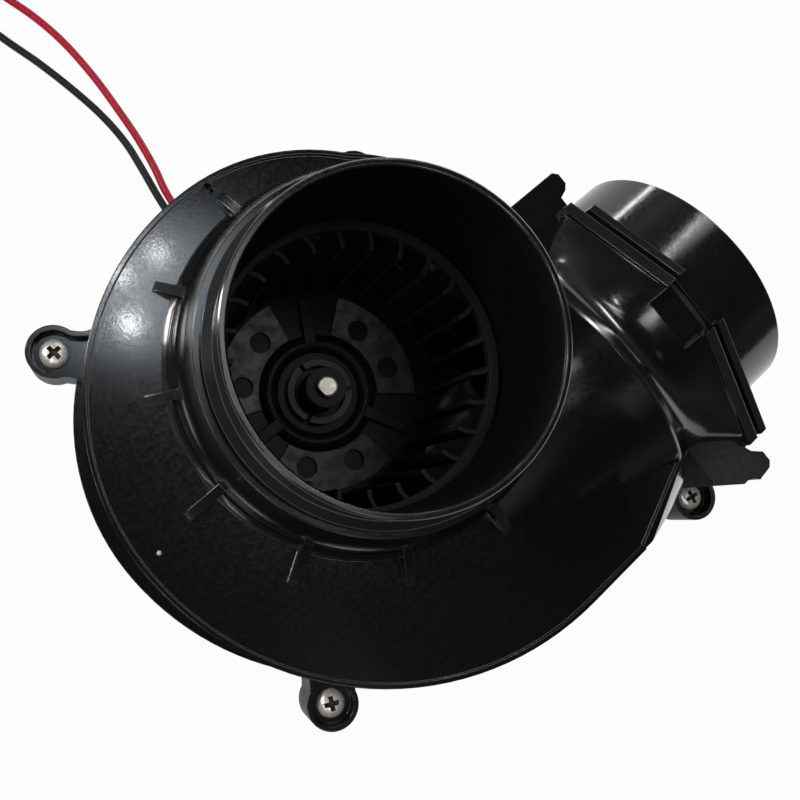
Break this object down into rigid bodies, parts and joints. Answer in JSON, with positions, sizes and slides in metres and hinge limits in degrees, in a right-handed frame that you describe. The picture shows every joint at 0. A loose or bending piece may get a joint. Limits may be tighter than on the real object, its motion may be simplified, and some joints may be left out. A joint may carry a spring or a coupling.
{
  "type": "intake boost fan",
  "caption": "Centrifugal blower in a black moulded scroll with a round hose neck on the inlet, a push-in outlet pipe, a squirrel-cage impeller on a brushed motor and two leads.",
  "frame": {"origin": "centre of the motor's rear face, which the fan stands on", "axes": "+Z along the fan axis from the motor to the inlet, +X along the outlet, the way the air leaves"},
  "size_m": [0.1745, 0.3167, 0.143],
  "materials": {
    "black_plastic": "satin moulded",
    "impeller_plastic": "moulded",
    "clip_plastic": "moulded",
    "cap_plastic": "moulded",
    "seal_rubber": "matte",
    "zinc_steel": "zinc plated",
    "shaft_steel": "ground",
    "core_steel": "laminated",
    "copper_wire": "enamelled",
    "copper_bar": "turned",
    "bronze": "sintered",
    "spring_bronze": "rolled",
    "ferrite": "fired",
    "carbon": "pressed",
    "nylon": "moulded",
    "red_insulation": "extruded",
    "black_insulation": "extruded",
    "tie_plastic": "moulded",
    "tinned_copper": "tinned"
  },
  "bodies": {
    "housing": {"front_scroll": "black_plastic", "rear_scroll": "black_plastic", "outlet_pipe": "black_plastic", "outlet_gasket": "seal_rubber", "housing_screws": "zinc_steel", "thrust_pad": "nylon", "motor_can": "zinc_steel", "motor_end_cap": "cap_plastic", "front_bush": "bronze", "rear_bush": "bronze", "magnets": "ferrite", "magnet_clips": "zinc_steel", "brushes": "carbon", "brush_springs": "spring_bronze", "motor_gasket": "seal_rubber", "motor_screws": "zinc_steel", "lead_grommet": "seal_rubber", "red_lead": "red_insulation", "black_lead": "black_insulation", "lead_coil": "red_insulation", "lead_tie": "tie_plastic", "lead_tips": "tinned_copper"},
    "rotor": {"impeller": "impeller_plastic", "hub_clip": "clip_plastic", "motor_shaft": "shaft_steel", "armature_core": "core_steel", "armature_windings": "copper_wire", "commutator": "copper_bar"}
  },
  "joints": [
    {"name": "impeller_spin", "type": "hinge", "parent": "housing", "child": "rotor", "pos_m": [0, 0, 0.05], "axis": [0, 0, 1], "continuous": true}
  ]
}
